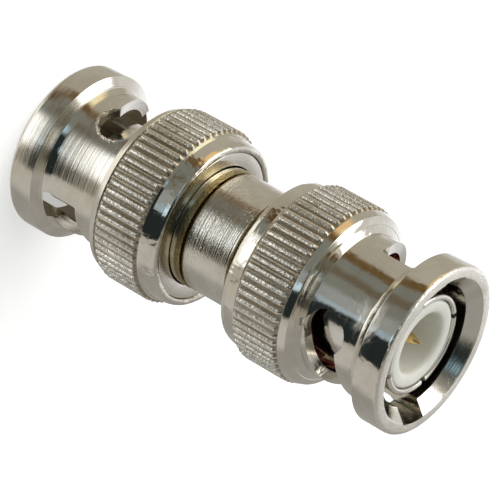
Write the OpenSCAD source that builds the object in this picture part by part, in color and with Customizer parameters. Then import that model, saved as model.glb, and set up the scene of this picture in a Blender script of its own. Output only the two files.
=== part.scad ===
// Plug-to-plug bayonet adapter: two slotted coupling nuts turn and pull on a common turned body.
// The axis is +Z. The adapter stands on the mouth rim of its lower nut, at z = 0.
// Both ends are the same plug. It is drawn once, with its heights measured outward from the
// adapter's middle plane, and placed twice by upper_end() and lower_end().

/* [Coupling nut outside] */
// Gap between the rear faces of the two nuts
nut_gap = 6.3; // [5.5:0.1:9]
// Length of the smooth band behind the knurl
rear_band_length = 1.45; // [1.1:0.05:2.5]
// Diameter of the smooth band behind the knurl
rear_band_d = 13.65; // [13.3:0.05:14]
// Radius of the rolled rear edge
lip_round = 0.34; // [0.2:0.02:0.5]
// Length of the knurled band
knurl_length = 4.25; // [3:0.05:7]
// Diameter over the knurl ridges
knurl_d = 14.5; // [14.3:0.05:15.5]
// Depth of the knurl grooves
knurl_depth = 0.24; // [0.1:0.01:0.3]
// Share of a ridge's pitch taken by its flat crest
ridge_crest = 0.32; // [0.2:0.02:0.5]
// Share of a ridge's pitch taken by its foot
ridge_foot = 0.68; // [0.52:0.02:0.9]
// Length of the chamfer at each end of the knurl
knurl_runout = 0.22; // [0.1:0.02:0.5]
// Number of knurl ridges round the nut
knurl_ridges = 65; // [40:1:72]
// Length of the shoulder in front of the knurl
shoulder_length = 1.2; // [1:0.05:2]
// Length of the shoulder's gentle rear cone
shoulder_cone_length = 0.6; // [0.3:0.05:0.8]
// Diameter of the shoulder next to the knurl
shoulder_rear_d = 14.16; // [14:0.02:14.3]
// Diameter of the corner between the shoulder's rear cone and its steep front cone
shoulder_front_d = 13.76; // [13:0.02:13.9]
// Length of the thin barrel that holds the cam slots
barrel_length = 4.6; // [4.3:0.05:7]
// Diameter of the thin barrel
barrel_d = 11.5; // [11.1:0.05:11.9]
// Length of the flare from the barrel up to the collar
flare_length = 0.9; // [0.6:0.05:1.5]
// Length of the flare's steep front cone
flare_front_length = 0.34; // [0.2:0.02:0.5]
// Diameter of the small ledge part of the way up the flare
ledge_d = 12.2; // [12:0.05:12.6]
// Length of the mouth collar
collar_length = 2.2; // [1.5:0.05:3.5]
// Diameter of the mouth collar
collar_d = 13.64; // [13.3:0.02:14.4]
// Radius of the collar's rounded front edge
rim_round = 0.34; // [0.1:0.02:0.45]

/* [Coupling nut inside] */
// Diameter of the bore that a jack's barrel enters
nut_bore_d = 9.8; // [9.7:0.02:10.2]
// Diameter of the countersunk mouth
mouth_d = 11.56; // [10.8:0.02:12]
// Depth of the countersunk mouth
mouth_depth = 0.88; // [0.4:0.02:1.2]
// Width of the entry grooves and cam slots
slot_w = 2.6; // [2.2:0.05:2.8]
// Diameter across the floors of the two entry grooves
entry_floor_d = 11.9; // [11.8:0.05:12.4]
// Angle between an entry groove and its detent hole
cam_turn = 89; // [70:1:95]
// How far the cam slot draws a stud rearward
cam_rise = 1.8; // [1:0.05:2]
// Diameter of the detent hole that ends a cam slot
detent_d = 3.44; // [3:0.02:3.6]
// How far the detent hole sits toward the mouth from the end of its slot
detent_step = 0.4; // [0.2:0.05:0.5]
// Wall left behind the rear edge of the detent hole, up to the shoulder
detent_margin = 0.03; // [0.02:0.01:0.3]
// Turn of the upper nut at rest
upper_nut_turn = 118.2; // [0:0.1:180]
// Turn of the lower nut at rest
lower_nut_turn = 54.9; // [0:0.1:180]

/* [Nut retention and spring] */
// Depth of the retaining washer's rear face below the nut's rear face
washer_recess = 0.12; // [0.08:0.01:0.3]
// Radial step in the nut that the retaining washer seats against
washer_seat_step = 0.27; // [0.2:0.01:0.35]
// Thickness of the retaining washer
retaining_washer_t = 0.6; // [0.5:0.05:0.8]
// Bevel on the retaining washer, which the nut's rolled lip closes over
washer_bevel = 0.26; // [0.2:0.01:0.35]
// Radial grip of the rolled lip over the retaining washer
lip_grip = 0.12; // [0.08:0.01:0.2]
// Thickness of the slip washer
slip_washer_t = 0.4; // [0.3:0.05:0.5]
// Thickness of a wave washer
wave_washer_t = 0.18; // [0.12:0.01:0.22]
// Number of waves round a wave washer
wave_count = 3; // [2:1:4]
// Space that the wave washers fill between slip washer and flange
spring_space = 1.25; // [1.1:0.05:1.6]

/* [Body] */
// Diameter of the neck sleeve between the nuts
sleeve_d = 9.66; // [9.4:0.02:9.8]
// Length of the neck sleeve
sleeve_length = 4.2; // [3.6:0.1:5]
// Diameter of the body's spigot inside the neck sleeve
spigot_d = 8.7; // [8.3:0.05:8.9]
// Width of the open groove between neck sleeve and body
neck_groove_w = 0.25; // [0.1:0.01:0.4]
// Diameter of the body's journal that the washers ride on
journal_d = 9.72; // [9.5:0.02:9.8]
// Thickness of the body behind the socket that tube and insulator seat in
socket_floor_t = 1; // [0.6:0.05:1.4]
// Radial height of the body's flange above the journal, which the wave washers press on
flange_step = 0.99; // [0.8:0.01:1.05]
// Thickness of the flange
flange_t = 1.2; // [0.8:0.05:2]
// Thickness of the gasket on the flange
gasket_t = 1.5; // [1:0.05:2]

/* [Contacts and insulators] */
// Outer diameter of the slotted contact tube
tube_d = 8.1; // [7.9:0.02:8.2]
// Radial step of the contact tube's foot, inside the body and the gasket
tube_foot_step = 0.25; // [0.18:0.01:0.3]
// Wall of the slotted contact tube
tube_wall = 0.43; // [0.35:0.01:0.5]
// Depth of the tube's front edge below the nut's mouth
tube_recess = 1.01; // [0.5:0.01:2]
// Number of slits that divide the tube into fingers
slit_count = 4; // [4:2:8]
// Width of a slit
slit_w = 0.42; // [0.2:0.02:0.6]
// Length of a slit
slit_length = 4.4; // [3.5:0.1:7.4]
// Turn of the slits round the axis
slit_turn = 53.5; // [0:0.5:90]
// Depth of the insulator's face below the nut's mouth
insulator_recess = 1.08; // [1:0.01:2.2]
// Diameter of the insulator's rear part, inside the body
insulator_tail_d = 6.4; // [6:0.05:6.8]
// Diameter of the insulator's open well
well_d = 4.84; // [4.8:0.02:5.2]
// Depth of the insulator's well
well_depth = 5.3; // [4:0.1:6]
// Diameter of the centre contact's pins
pin_d = 1.35; // [1.3:0.01:1.4]
// Radial step of the pin's foot, inside the insulator
pin_foot_step = 0.22; // [0.18:0.01:0.25]
// Depth of the pin's tip below the nut's mouth
pin_recess = 1.27; // [1.1:0.01:2.5]
// Half angle of the pin's tapered tip
pin_taper = 19; // [12:1:40]
// Diameter of the pin's blunt end
pin_tip_d = 0.16; // [0.1:0.02:0.4]
// Diameter of the centre contact between its pins
contact_core_d = 2.4; // [2.2:0.05:2.8]
// Distance from an insulator's well floor back to the contact's shoulder
contact_shoulder_depth = 2.1; // [1:0.1:3]

/* [Clearances] */
// Radial clearance between pieces pressed together
press_gap = 0.02; // [0.01:0.01:0.04]
// Radial clearance between the washers and the journal
running_gap = 0.09; // [0.05:0.01:0.1]
// Radial clearance between flange and nut cavity
cavity_gap = 0.15; // [0.1:0.01:0.2]
// Radial clearance of slip washer, wave washers and gasket inside the nut
inner_gap = 0.1; // [0.06:0.01:0.2]
// Axial clearance between faces that turn on each other
face_gap = 0.03; // [0.02:0.01:0.05]

/* [Hidden] */
$fn = 96;

// Overlap that a cutter reaches past what it cuts
cut = 1;
// Bevel on small turned edges
edge = 0.1;
// Width of the fine turned line on the shoulder and the flare
line = 0.04;
// Straight pieces that stand for a quarter of a small round
arc_steps = 6;

// Heights of the nut's sections, outward from the middle plane
nut_rear_h = nut_gap / 2;
knurl_rear_h = nut_rear_h + rear_band_length;
knurl_front_h = knurl_rear_h + knurl_length;
barrel_rear_h = knurl_front_h + shoulder_length;
barrel_front_h = barrel_rear_h + barrel_length;
collar_rear_h = barrel_front_h + flare_length;
mouth_h = collar_rear_h + collar_length;

// Heights of the stack inside the nut
retaining_washer_h = nut_rear_h + washer_recess;
slip_washer_h = retaining_washer_h + retaining_washer_t + face_gap;
spring_h = slip_washer_h + slip_washer_t;
flange_rear_h = spring_h + spring_space;
flange_front_h = flange_rear_h + flange_t;
nut_stop_h = flange_front_h + face_gap;

// Heights of the contacts and the insulator
groove_h = sleeve_length / 2;
journal_h = groove_h + neck_groove_w;
seat_h = journal_h + socket_floor_t;
gasket_front_h = flange_front_h + gasket_t;
tube_foot_h = gasket_front_h + face_gap;
tube_front_h = mouth_h - tube_recess;
insulator_front_h = mouth_h - insulator_recess;
well_floor_h = insulator_front_h - well_depth;
pin_foot_h = well_floor_h + face_gap;
contact_shoulder_h = well_floor_h - contact_shoulder_depth;
pin_tip_h = mouth_h - pin_recess;

// Radii that fit to each other
washer_bore_r = journal_d / 2 + running_gap;
flange_r = journal_d / 2 + flange_step;
cavity_r = flange_r + cavity_gap;
retaining_washer_r = cavity_r + washer_seat_step - press_gap;
washer_seat_r = retaining_washer_r + press_gap;
slip_washer_r = cavity_r - inner_gap;
wave_washer_r = slip_washer_r - inner_gap;
gasket_r = nut_bore_d / 2 - inner_gap;
tube_r = tube_d / 2;
tube_foot_r = tube_r + tube_foot_step;
tube_bore_r = tube_r - tube_wall;
insulator_r = tube_bore_r - press_gap;
tail_r = insulator_tail_d / 2;
pin_foot_r = pin_d / 2 + pin_foot_step;

// Cam slot
detent_r = detent_d / 2;
detent_h = barrel_rear_h + detent_margin + detent_r;
cam_end_h = detent_h - detent_step;
cam_start_h = cam_end_h + cam_rise;
cam_steps = 22;
cam_angle = atan(cam_rise / (barrel_d / 2 * cam_turn * PI / 180));

half_length = mouth_h;

// Points along an arc of a profile, as [radius, height]
function arc(r, h, size, from, to) = [for (i = [0:arc_steps])
    let (a = from + (to - from) * i / arc_steps) [r + size * cos(a), h + size * sin(a)]];

// Triangles of a band's four sides between two sections that start at points p and q.
// The corners of a section are: inner rear, outer rear, inner front, outer front.
function band_sides(p, q) = [for (side = [[0, 1], [1, 3], [3, 2], [2, 0]])
    each [[p + side[0], q + side[1], q + side[0]], [p + side[0], p + side[1], q + side[1]]]];

// Places a plug on the upper end, with its mouth up
module upper_end(turn = 0) {
    translate([0, 0, half_length]) rotate([0, 0, turn]) children();
}

// Places the same plug on the lower end, with its mouth down
module lower_end(turn = 0) {
    translate([0, 0, half_length]) rotate([0, 0, turn]) rotate([180, 0, 0]) children();
}

// A turned ring with beveled edges
module ring(inner_r, outer_r, from_h, to_h, bevel = 0) {
    rotate_extrude() polygon([
        [inner_r, from_h], [outer_r - bevel, from_h], [outer_r, from_h + bevel],
        [outer_r, to_h - bevel], [outer_r - bevel, to_h], [inner_r, to_h]]);
}

// Outer form of the nut, as a solid of revolution from its rear lip to its mouth
module nut_blank() {
    collar_r = collar_d / 2;
    rear_r = rear_band_d / 2;
    core_r = knurl_d / 2 - knurl_depth - 2 * edge;
    shoulder_rear_r = shoulder_rear_d / 2;
    shoulder_front_r = shoulder_front_d / 2;
    barrel_r = barrel_d / 2;
    ledge_r = ledge_d / 2;
    cone_front_h = knurl_front_h + shoulder_cone_length;
    // A fine turned line divides the shoulder's front cone
    line_r = (shoulder_front_r + barrel_r) / 2;
    line_h = (cone_front_h + barrel_rear_h) / 2;
    ledge_front_h = collar_rear_h - flare_front_length;
    rotate_extrude() polygon(concat(
        [[0, nut_rear_h]],
        arc(rear_r - lip_round, nut_rear_h + lip_round, lip_round, -90, 0),
        [[rear_r, knurl_rear_h - edge], [core_r, knurl_rear_h + edge],
         [core_r, knurl_front_h], [shoulder_rear_r, knurl_front_h + line],
         [shoulder_front_r, cone_front_h - line], [shoulder_front_r - line, cone_front_h],
         [line_r, line_h], [line_r - line, line_h], [barrel_r, barrel_rear_h],
         [barrel_r, barrel_front_h], [ledge_r - edge, ledge_front_h - 2 * line],
         [ledge_r, ledge_front_h - line], [ledge_r, ledge_front_h],
         [collar_r - edge, collar_rear_h - edge], [collar_r, collar_rear_h + edge]],
        arc(collar_r - rim_round, mouth_h - rim_round, rim_round, 0, 90),
        [[0, mouth_h]]));
}

// Straight ridges round the nut, run out at both ends by the chamfers of a turned blank
module knurl() {
    ridge_r = knurl_d / 2;
    root_r = ridge_r - knurl_depth;
    pitch = 360 / knurl_ridges;
    ridge = [[-ridge_foot / 2, root_r], [-ridge_crest / 2, ridge_r],
        [ridge_crest / 2, ridge_r], [ridge_foot / 2, root_r]];
    rear_h = knurl_rear_h + edge / 2;
    front_h = knurl_front_h - edge / 2;
    over_r = ridge_r + edge;
    intersection() {
        translate([0, 0, knurl_rear_h]) linear_extrude(knurl_length) polygon([
            for (i = [0:knurl_ridges - 1]) for (p = ridge)
                p[1] * [cos((i + p[0]) * pitch), sin((i + p[0]) * pitch)]]);
        rotate_extrude() polygon([
            [0, rear_h], [root_r - edge, rear_h], [over_r, rear_h + knurl_runout + edge],
            [over_r, front_h - knurl_runout - edge], [root_r - edge, front_h], [0, front_h]]);
    }
}

// Everything inside the nut: lip, washer seat, spring cavity, bore and countersunk mouth
module nut_hollow() {
    bore_r = nut_bore_d / 2;
    lip_r = washer_seat_r - press_gap - lip_grip;
    bevel_h = retaining_washer_h + washer_bevel;
    rotate_extrude() polygon([
        [0, nut_rear_h - cut], [lip_r + cut, nut_rear_h - cut], [lip_r + edge, nut_rear_h],
        [lip_r, nut_rear_h + edge], [lip_r, bevel_h - lip_grip - face_gap],
        [washer_seat_r, bevel_h + press_gap - face_gap],
        [washer_seat_r, retaining_washer_h + retaining_washer_t],
        [cavity_r, retaining_washer_h + retaining_washer_t], [cavity_r, nut_stop_h],
        [bore_r, nut_stop_h], [bore_r, mouth_h - mouth_depth], [mouth_d / 2, mouth_h - edge / 2],
        [mouth_d / 2 + edge, mouth_h], [mouth_d / 2 + edge, mouth_h + cut], [0, mouth_h + cut]]);
}

// Cutter for one cam slot: a helical band of constant width, from its detent end to its entry
module cam_band() {
    inner_r = nut_bore_d / 2 - cut;
    outer_r = entry_floor_d / 2 + cut;
    // The band ends inside the entry groove, past the groove's middle
    overrun = 1.07;
    lean = slot_w / 2 * sin(cam_angle) / (barrel_d / 2) * 180 / PI;
    rise = slot_w / 2 * cos(cam_angle);
    points = [for (i = [0:cam_steps]) for (side = [-1, 1]) for (r = [inner_r, outer_r])
        let (share = overrun * i / cam_steps,
             a = cam_turn * share - side * lean,
             h = cam_end_h + cam_rise * share + side * rise)
        [r * cos(a), r * sin(a), h]];
    last = 4 * cam_steps;
    faces = concat(
        [[0, 3, 1], [0, 2, 3]],
        [for (i = [0:cam_steps - 1]) each band_sides(4 * i, 4 * i + 4)],
        [[last, last + 1, last + 3], [last, last + 3, last + 2]]);
    polyhedron(points, faces);
}

// One entry groove with its cam slot and detent hole
module cam_cut() {
    rotate([0, 0, cam_turn]) intersection() {
        translate([0, -slot_w / 2, cam_start_h - slot_w / 2])
            cube([entry_floor_d, slot_w, mouth_h + cut - cam_start_h + slot_w / 2]);
        cylinder(d = entry_floor_d, h = mouth_h + 2 * cut);
    }
    cam_band();
    translate([nut_bore_d / 2 - 1.5 * cut, 0, detent_h]) rotate([0, 90, 0])
        cylinder(r = detent_r, h = barrel_d / 2 - nut_bore_d / 2 + 3 * cut);
}

// Coupling nut, with two cam slots opposite each other
module coupling_nut() {
    color("#b9b4a8") difference() {
        union() {
            nut_blank();
            knurl();
        }
        nut_hollow();
        for (side = [0, 180]) rotate([0, 0, side]) cam_cut();
    }
}

// Flat washer that closes the nut's rear, held by the rolled lip over its bevel
module retaining_washer() {
    outer_r = retaining_washer_r;
    color("#cfc9ba") rotate_extrude() polygon([
        [washer_bore_r, retaining_washer_h], [outer_r - washer_bevel, retaining_washer_h],
        [outer_r, retaining_washer_h + washer_bevel],
        [outer_r, retaining_washer_h + retaining_washer_t],
        [washer_bore_r, retaining_washer_h + retaining_washer_t]]);
}

// Slip washer between the turning retaining washer and the still wave washers
module slip_washer() {
    color("#c9b27a")
        ring(washer_bore_r, slip_washer_r, slip_washer_h, slip_washer_h + slip_washer_t);
}

// One of two nested wave washers; level 0 is nearer the slip washer
module wave_washer(level) {
    steps = 48;
    lift = wave_washer_t + press_gap;
    swing = spring_space - lift - wave_washer_t - 2 * press_gap;
    middle_h = spring_h + press_gap + swing / 2 + lift * level;
    points = [for (i = [0:steps - 1]) for (top = [0, 1]) for (r = [washer_bore_r, wave_washer_r])
        let (a = 360 * i / steps, h = middle_h + swing / 2 * cos(wave_count * a))
        [r * cos(a), r * sin(a), h + top * wave_washer_t]];
    faces = [for (i = [0:steps - 1]) each band_sides(4 * i, 4 * ((i + 1) % steps))];
    color("#8f8a80") polyhedron(points, faces);
}

// Turned body of one plug: spigot, journal and flange, stepped inside for the tube and insulator
module plug_body() {
    spigot_r = spigot_d / 2;
    journal_r = journal_d / 2;
    socket_r = tube_foot_r + press_gap;
    bore_r = tail_r + press_gap;
    spigot_end_h = edge;
    color("#bdb8ab") rotate_extrude() polygon([
        [bore_r, spigot_end_h], [spigot_r - edge, spigot_end_h], [spigot_r, spigot_end_h + edge],
        [spigot_r, journal_h], [journal_r - edge, journal_h], [journal_r, journal_h + edge],
        [journal_r, flange_rear_h], [flange_r, flange_rear_h], [flange_r, flange_front_h - edge],
        [flange_r - edge, flange_front_h], [socket_r, flange_front_h], [socket_r, seat_h],
        [bore_r, seat_h]]);
}

// Sleeve that joins the two bodies and shows as the neck between the nuts
module neck_sleeve() {
    color("#b5b0a4") translate([0, 0, half_length])
        ring(spigot_d / 2 + press_gap, sleeve_d / 2, -sleeve_length / 2, sleeve_length / 2, edge);
}

// Springy outer contact, slit into fingers with rounded tips
module contact_tube() {
    tip = tube_wall / 2;
    color("#c8c5bc") difference() {
        rotate_extrude() polygon(concat(
            [[tube_bore_r, seat_h], [tube_foot_r, seat_h], [tube_foot_r, tube_foot_h],
             [tube_r, tube_foot_h]],
            arc(tube_r - tip, tube_front_h - tip, tip, 0, 90),
            arc(tube_bore_r + tip / 2, tube_front_h - tip / 2, tip / 2, 90, 180)));
        for (i = [0:slit_count / 2 - 1]) rotate([0, 0, slit_turn + i * 360 / slit_count])
            translate([-tube_d, -slit_w / 2, tube_front_h - slit_length])
                cube([2 * tube_d, slit_w, slit_length + cut]);
    }
}

// White insulator with a rounded face, an open well and a stepped bore for the centre contact
module insulator() {
    well_r = well_d / 2;
    lip = (insulator_r - well_r) / 2;
    outer_round = 0.55 * lip;
    inner_round = 0.85 * lip;
    pin_bore_r = pin_foot_r + press_gap;
    core_bore_r = contact_core_d / 2 + press_gap;
    shoulder_h = contact_shoulder_h + press_gap;
    tail_h = edge / 2;
    color("#f2f1ec") rotate_extrude() polygon(concat(
        [[core_bore_r, tail_h], [tail_r, tail_h], [tail_r, seat_h], [insulator_r, seat_h]],
        arc(insulator_r - outer_round, insulator_front_h - outer_round, outer_round, 0, 90),
        arc(well_r + inner_round, insulator_front_h - inner_round, inner_round, 90, 180),
        [[well_r, well_floor_h], [pin_bore_r, well_floor_h], [pin_bore_r, shoulder_h],
         [core_bore_r, shoulder_h]]));
}

// Gasket that a jack's rim presses on, round the foot of the contact tube
module gasket() {
    color("#5a1210") ring(tube_foot_r + press_gap, gasket_r, flange_front_h, gasket_front_h, edge);
}

// Centre contact, one turned rod with a pin at each end
module centre_contact() {
    pin_r = pin_d / 2;
    tip_r = pin_tip_d / 2;
    taper_h = pin_tip_h - (pin_r - tip_r) / tan(pin_taper);
    half = [[0, pin_tip_h], [tip_r, pin_tip_h], [pin_r, taper_h], [pin_r, pin_foot_h],
        [pin_foot_r, pin_foot_h], [pin_foot_r, contact_shoulder_h],
        [contact_core_d / 2, contact_shoulder_h]];
    color("#d8b25a") translate([0, 0, half_length]) rotate_extrude() polygon(concat(
        half, [for (i = [len(half) - 1:-1:0]) [half[i][0], -half[i][1]]]));
}

neck_sleeve();
upper_end() plug_body();  // upper_body
lower_end() plug_body();  // lower_body
upper_end() contact_tube();  // upper_contact_tube
lower_end() contact_tube();  // lower_contact_tube
upper_end() insulator();  // upper_insulator
lower_end() insulator();  // lower_insulator
centre_contact();
upper_end() gasket();  // upper_gasket
lower_end() gasket();  // lower_gasket
upper_end(upper_nut_turn) coupling_nut();  // upper_coupling_nut
lower_end(lower_nut_turn) coupling_nut();  // lower_coupling_nut
upper_end() retaining_washer();  // upper_retaining_washer
lower_end() retaining_washer();  // lower_retaining_washer
upper_end() slip_washer();  // upper_slip_washer
lower_end() slip_washer();  // lower_slip_washer
upper_end() wave_washer(0);  // upper_wave_washer_a
upper_end() wave_washer(1);  // upper_wave_washer_b
lower_end() wave_washer(0);  // lower_wave_washer_a
lower_end() wave_washer(1);  // lower_wave_washer_b
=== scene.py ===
"""Looks of a plug-to-plug bayonet adapter, built round its packed construction model.

Both ends are the same plug. Its pieces are drawn with heights measured outward from the
adapter's middle plane, in millimetres, and an End places them in the shared frame, in metres.
"""

from __future__ import annotations

import logging
import math
from dataclasses import dataclass
from enum import Enum
from typing import Callable, Iterable, Sequence

import bmesh
import bpy
from mathutils import Matrix, Vector, noise
from mathutils.geometry import tessellate_polygon

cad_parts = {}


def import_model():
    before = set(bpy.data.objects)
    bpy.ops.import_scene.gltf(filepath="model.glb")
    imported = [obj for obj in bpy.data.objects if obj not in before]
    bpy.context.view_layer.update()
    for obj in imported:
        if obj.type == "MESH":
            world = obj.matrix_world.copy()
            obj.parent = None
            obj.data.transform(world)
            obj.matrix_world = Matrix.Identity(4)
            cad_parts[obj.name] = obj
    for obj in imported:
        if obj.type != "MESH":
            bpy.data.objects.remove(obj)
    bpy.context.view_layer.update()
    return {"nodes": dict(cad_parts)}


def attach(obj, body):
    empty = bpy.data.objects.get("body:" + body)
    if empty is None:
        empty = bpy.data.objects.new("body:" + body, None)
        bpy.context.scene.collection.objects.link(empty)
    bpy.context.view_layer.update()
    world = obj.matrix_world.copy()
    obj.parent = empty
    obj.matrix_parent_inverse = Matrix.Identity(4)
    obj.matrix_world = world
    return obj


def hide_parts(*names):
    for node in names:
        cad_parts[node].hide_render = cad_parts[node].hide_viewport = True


LOG = logging.getLogger("adapter")
MM = 0.001
PER_MM = 1 / MM
HALF_LENGTH = 17.75

# Shortest length that counts, the bend that needs no rounding, and the share of an edge that the
# rounding at one of its ends may take up
TINY = 1e-6
NEARLY_STRAIGHT = math.radians(176)
ROUNDING_ROOM = 0.48
# Kind of socket that the shared effects have
PLAIN_VALUE = "NodeSocketFloat"
# Edges sharper than these angles in degrees stay sharp on turned and on milled pieces
TURNED_EDGE = 32.0
MILLED_EDGE = 36.0
BURR_EDGE = 40.0

Point = tuple[float, float]
Knot = tuple[float, float, float]
Colour = tuple[float, float, float, float]
Reach = Callable[[float, float, float], float]


def rgb(red: float, green: float, blue: float) -> Colour:
    """Returns a colour of full alpha from three linear values."""
    return (red, green, blue, 1.0)


def from_screen(red: int, green: int, blue: int) -> Colour:
    """Turns display values of 0 to 255 into a linear colour.

    Args:
        red: Red display value.
        green: Green display value.
        blue: Blue display value.

    Returns:
        The linear colour with full alpha.
    """

    def linear(value: int) -> float:
        """Returns the linear value of one display value."""
        share = value / 255
        return share / 12.92 if share <= 0.04045 else ((share + 0.055) / 1.055) ** 2.4

    return rgb(linear(red), linear(green), linear(blue))


class End(Enum):
    """The adapter's two ends."""

    UPPER = "upper"
    LOWER = "lower"

    def placement(self, turn: float = 0.0) -> Matrix:
        """Returns the matrix from a plug's own millimetres to the frame's metres.

        Args:
            turn: Turn of the piece round the axis, in degrees.

        Returns:
            The placement of a piece drawn with its mouth outward.
        """
        flip = Matrix.Identity(4) if self is End.UPPER else Matrix.Rotation(math.pi, 4, "X")
        middle = Matrix.Translation((0, 0, HALF_LENGTH * MM))
        return middle @ Matrix.Rotation(math.radians(turn), 4, "Z") @ Matrix.Scale(MM, 4) @ flip

    def named(self, word: str) -> str:
        """Returns the name of this end's node or body."""
        return f"{self.value}_{word}"


# ---------------------------------------------------------------------------------------------
# Mesh tools
# ---------------------------------------------------------------------------------------------


def rounded(knots: Sequence[Knot], steps: int = 4) -> list[Point]:
    """Rounds the corners of a turned profile.

    Args:
        knots: Corners as radius, height and the radius of their rounding.
        steps: Straight pieces in each rounding.

    Returns:
        The profile's points as radius and height. A corner of rounding 0 stays sharp.
    """
    count = len(knots)
    points: list[Point] = []
    for index, (r, h, size) in enumerate(knots):
        here = Vector((r, h))
        before = Vector(knots[index - 1][:2]) - here
        after = Vector(knots[(index + 1) % count][:2]) - here
        if size <= 0 or before.length < TINY or after.length < TINY:
            points.append((r, h))
            continue
        angle = before.angle(after)
        if angle > NEARLY_STRAIGHT:
            points.append((r, h))
            continue
        reach = min(size / math.tan(angle / 2), ROUNDING_ROOM * before.length,
                    ROUNDING_ROOM * after.length)
        start = here + before.normalized() * reach
        end = here + after.normalized() * reach
        for step in range(steps + 1):
            share = step / steps
            bend = start * (1 - share) ** 2 + here * (2 * share * (1 - share)) + end * share**2
            points.append((bend.x, bend.y))
    return points


def piece_from(
    mesh: bmesh.types.BMesh, name: str, sharp: float = TURNED_EDGE
) -> bpy.types.Object:
    """Makes an object of a finished mesh, smooth but for its sharp edges.

    Args:
        mesh: The mesh, which is freed.
        name: Name of the object.
        sharp: Angle in degrees above which an edge stays sharp.

    Returns:
        The new object, linked to the scene.
    """
    bmesh.ops.recalc_face_normals(mesh, faces=mesh.faces)
    data = bpy.data.meshes.new(name)
    mesh.to_mesh(data)
    mesh.free()
    data.shade_smooth()
    data.set_sharp_from_angle(angle=math.radians(sharp))
    piece = bpy.data.objects.new(name, data)
    bpy.context.scene.collection.objects.link(piece)
    return piece


def even_columns(count: int) -> list[float]:
    """Returns that many even angles round a full turn, in radians."""
    return [2 * math.pi * index / count for index in range(count)]


def lathe(
    profile: Sequence[Point], columns: Sequence[float], reach: Reach | None = None
) -> bmesh.types.BMesh:
    """Turns a closed profile round the axis.

    Args:
        profile: Radius and height of each row, in order round the section.
        columns: Angles of the columns, in radians.
        reach: Optional function of radius, height and angle that gives a point's own radius.

    Returns:
        A closed mesh in the profile's units.
    """
    mesh = bmesh.new()
    rows: list[list[bmesh.types.BMVert]] = []
    for r, h in profile:
        if r < TINY:
            rows.append([mesh.verts.new((0, 0, h))])
            continue
        row = []
        for angle in columns:
            own = reach(r, h, angle) if reach else r
            row.append(mesh.verts.new((own * math.cos(angle), own * math.sin(angle), h)))
        rows.append(row)
    count = len(columns)
    for index, low in enumerate(rows):
        high = rows[(index + 1) % len(rows)]
        if len(low) == 1 and len(high) == 1:
            continue
        for column in range(count):
            after = (column + 1) % count
            if len(low) == 1:
                mesh.faces.new((low[0], high[after], high[column]))
            elif len(high) == 1:
                mesh.faces.new((low[column], low[after], high[0]))
            else:
                mesh.faces.new((low[column], low[after], high[after], high[column]))
    return mesh


def turned_piece(
    name: str,
    knots: Sequence[Knot],
    place: Matrix,
    count: int = 240,
    steps: int = 4,
) -> bpy.types.Object:
    """Makes a turned piece from a closed profile of rounded corners.

    Args:
        name: Name of the piece.
        knots: Corners as radius, height and rounding, in millimetres.
        place: Placement into the frame.
        count: Columns round the axis.
        steps: Straight pieces in each rounding.

    Returns:
        The new object.
    """
    mesh = lathe(rounded(knots, steps), even_columns(count))
    bmesh.ops.transform(mesh, matrix=place, verts=mesh.verts)
    return piece_from(mesh, name)


def loft(rings: Sequence[Sequence[Vector]], flat: Sequence[Vector]) -> bmesh.types.BMesh:
    """Closes a stack of rings of equal count into a solid.

    Args:
        rings: Rings of points, in order from one end to the other.
        flat: A flat picture of the outline, which the end caps are divided by.

    Returns:
        The closed mesh.
    """
    mesh = bmesh.new()
    rows = [[mesh.verts.new(point) for point in ring] for ring in rings]
    count = len(flat)
    for low, high in zip(rows, rows[1:]):
        for index in range(count):
            after = (index + 1) % count
            mesh.faces.new((low[index], low[after], high[after], high[index]))
    for first, second, third in tessellate_polygon([list(flat)]):
        mesh.faces.new((rows[0][first], rows[0][second], rows[0][third]))
        mesh.faces.new((rows[-1][third], rows[-1][second], rows[-1][first]))
    bmesh.ops.recalc_face_normals(mesh, faces=mesh.faces)
    return mesh


def carve(piece: bpy.types.Object, cutters: Iterable[bmesh.types.BMesh]) -> None:
    """Cuts solids out of a piece, one after another.

    Args:
        piece: The piece that is cut.
        cutters: Closed meshes in the piece's own units. They are freed.
    """
    scene = bpy.context.scene
    for cutter in cutters:
        data = bpy.data.meshes.new("cutter")
        cutter.to_mesh(data)
        cutter.free()
        tool = bpy.data.objects.new("cutter", data)
        scene.collection.objects.link(tool)
        cut = piece.modifiers.new("cut", "BOOLEAN")
        cut.operation = "DIFFERENCE"
        cut.solver = "MANIFOLD"
        cut.object = tool
        bpy.context.view_layer.update()
        graph = bpy.context.evaluated_depsgraph_get()
        result = bpy.data.meshes.new_from_object(piece.evaluated_get(graph))
        piece.modifiers.remove(cut)
        old = piece.data
        piece.data = result
        result.name = piece.name
        bpy.data.meshes.remove(old)
        bpy.data.objects.remove(tool)
        bpy.data.meshes.remove(data)
    piece.data.shade_smooth()
    piece.data.set_sharp_from_angle(angle=math.radians(MILLED_EDGE))


# ---------------------------------------------------------------------------------------------
# Shader tools and shared effects
# ---------------------------------------------------------------------------------------------


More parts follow.
